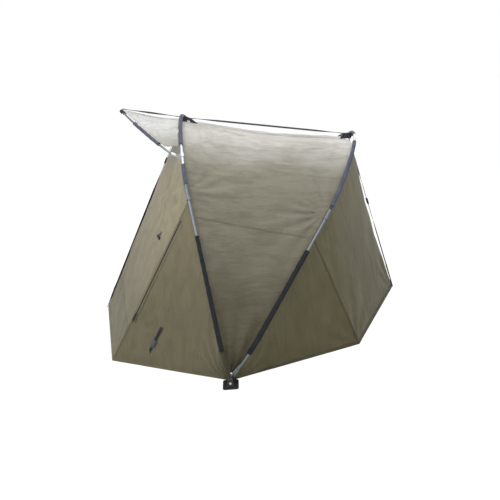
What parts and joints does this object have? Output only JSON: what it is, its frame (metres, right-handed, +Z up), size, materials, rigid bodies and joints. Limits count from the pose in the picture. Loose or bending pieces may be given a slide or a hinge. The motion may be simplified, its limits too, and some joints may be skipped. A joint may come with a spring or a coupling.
{
  "type": "bivvy tent",
  "caption": "Olive bivvy tent on arched folding ribs with ground pivots, a hinged front peak, a zipped door panel and webbing tension straps.",
  "frame": {"origin": "on the ground, in the middle of the tent's length and width", "axes": "+Z up, -Y out of the door (front, under the peak), +X the occupant's left when facing out"},
  "size_m": [2.56, 2.2657, 1.5056],
  "materials": {
    "pole_alloy": "anodised, cool silver",
    "ferrule_alloy": "bright turned alloy",
    "pin_steel": "plated steel",
    "sleeve_slate": "grey-violet woven sleeve",
    "sleeve_black": "near-black woven sleeve",
    "canopy_olive": "coated olive canopy cloth",
    "canopy_pale": "coated canopy cloth, lit from above",
    "moulding_black": "moulded, fine grain",
    "clip_grey": "moulded, grey",
    "webbing_black": "woven webbing",
    "zip_black": "zip tape with coil teeth"
  },
  "bodies": {
    "base": {"pivot_block_left": "moulding_black", "pivot_block_right": "moulding_black", "pivot_pin_left": "pin_steel", "pivot_pin_right": "pin_steel"},
    "rear_rib": {"rear_foot_left": "moulding_black", "rear_foot_right": "moulding_black", "rear_leg_tube_left": "pole_alloy", "rear_leg_tube_right": "pole_alloy", "rear_ferrule_left": "ferrule_alloy", "rear_ferrule_right": "ferrule_alloy", "rear_lower_sleeve_left": "sleeve_black", "rear_lower_sleeve_right": "sleeve_black", "rear_top_sleeve_left": "sleeve_slate", "rear_top_sleeve_right": "sleeve_slate", "rear_crown_tube": "pole_alloy", "rear_crown_block": "moulding_black", "canopy_rear": "canopy_olive", "rear_strap": "webbing_black", "ridge_strap": "webbing_black"},
    "front_rib": {"front_foot_left": "moulding_black", "front_foot_right": "moulding_black", "front_leg_tube_left": "pole_alloy", "front_leg_tube_right": "pole_alloy", "front_ferrule_left": "ferrule_alloy", "front_ferrule_right": "ferrule_alloy", "front_lower_sleeve_left": "sleeve_black", "front_lower_sleeve_right": "sleeve_black", "front_mid_sleeve_left": "sleeve_slate", "front_mid_sleeve_right": "sleeve_slate", "front_top_sleeve_left": "sleeve_slate", "front_top_sleeve_right": "sleeve_slate", "peak_bracket_left": "moulding_black", "peak_bracket_right": "moulding_black", "peak_pin_left": "pin_steel", "peak_pin_right": "pin_steel", "zip_left": "zip_black", "zip_right": "zip_black", "door_toggle_left": "moulding_black", "door_toggle_right": "moulding_black", "hem_clip_left": "clip_grey", "hem_clip_right": "clip_grey", "front_crown_tube": "pole_alloy", "front_crown_block": "moulding_black", "canopy_front": "canopy_olive", "door_panel": "canopy_olive", "front_strap": "webbing_black", "peak_strap": "webbing_black"},
    "roof": {"canopy_roof": "canopy_pale"},
    "peak_rib": {"peak_knuckle_left": "moulding_black", "peak_knuckle_right": "moulding_black", "peak_sleeve_left": "sleeve_slate", "peak_sleeve_right": "sleeve_slate", "peak_tube": "pole_alloy", "peak_crown_block": "moulding_black", "canopy_peak": "canopy_pale"},
    "zip_slider_left": {"zip_slider_left": "pin_steel"},
    "zip_slider_right": {"zip_slider_right": "pin_steel"},
    "front_buckle": {"front_buckle": "moulding_black"},
    "rear_buckle": {"rear_buckle": "moulding_black"}
  },
  "joints": [
    {"name": "rear_rib_hinge", "type": "hinge", "parent": "base", "child": "rear_rib", "pos_m": [0, -0.145, 0.035], "axis": [-1, 0, 0], "range_deg": [0, 43], "deforming": ["canopy_rear", "rear_strap", "canopy_roof", "canopy_front", "door_panel", "front_strap", "canopy_peak"]},
    {"name": "front_rib_hinge", "type": "hinge", "parent": "rear_rib", "child": "front_rib", "pos_m": [0, -0.145, 0.035], "axis": [-1, 0, 0], "range_deg": [0, 42], "deforming": ["canopy_roof", "ridge_strap", "canopy_front", "door_panel", "front_strap", "peak_strap", "canopy_peak"]},
    {"name": "roof_fold", "type": "hinge", "parent": "rear_rib", "child": "roof", "pos_m": [0, -0.145, 0.035], "axis": [-1, 0, 0], "range_deg": [0, 21], "deforming": ["canopy_roof"]},
    {"name": "peak_hinge", "type": "hinge", "parent": "front_rib", "child": "peak_rib", "pos_m": [0, -0.3871, 1.23527], "axis": [-1, 0, 0], "range_deg": [0, 45], "deforming": ["canopy_peak", "peak_strap", "front_strap"]},
    {"name": "zip_slide_left", "type": "slide", "parent": "front_rib", "child": "zip_slider_left", "axis": [0.0503, -0.5073, -0.8603], "range_m": [-0.655, 0]},
    {"name": "zip_slide_right", "type": "slide", "parent": "front_rib", "child": "zip_slider_right", "axis": [-0.0503, -0.5073, -0.8603], "range_m": [-0.655, 0]},
    {"name": "front_buckle_slide", "type": "slide", "parent": "front_rib", "child": "front_buckle", "axis": [0, -0.469, -0.8832], "range_m": [-0.236, 0]},
    {"name": "rear_buckle_slide", "type": "slide", "parent": "rear_rib", "child": "rear_buckle", "axis": [0, 0.2786, -0.9604], "range_m": [-0.426, 0]}
  ],
  "couplings": [
    {"joint": "roof_fold", "follows": "front_rib_hinge", "ratio": 0.5}
  ]
}
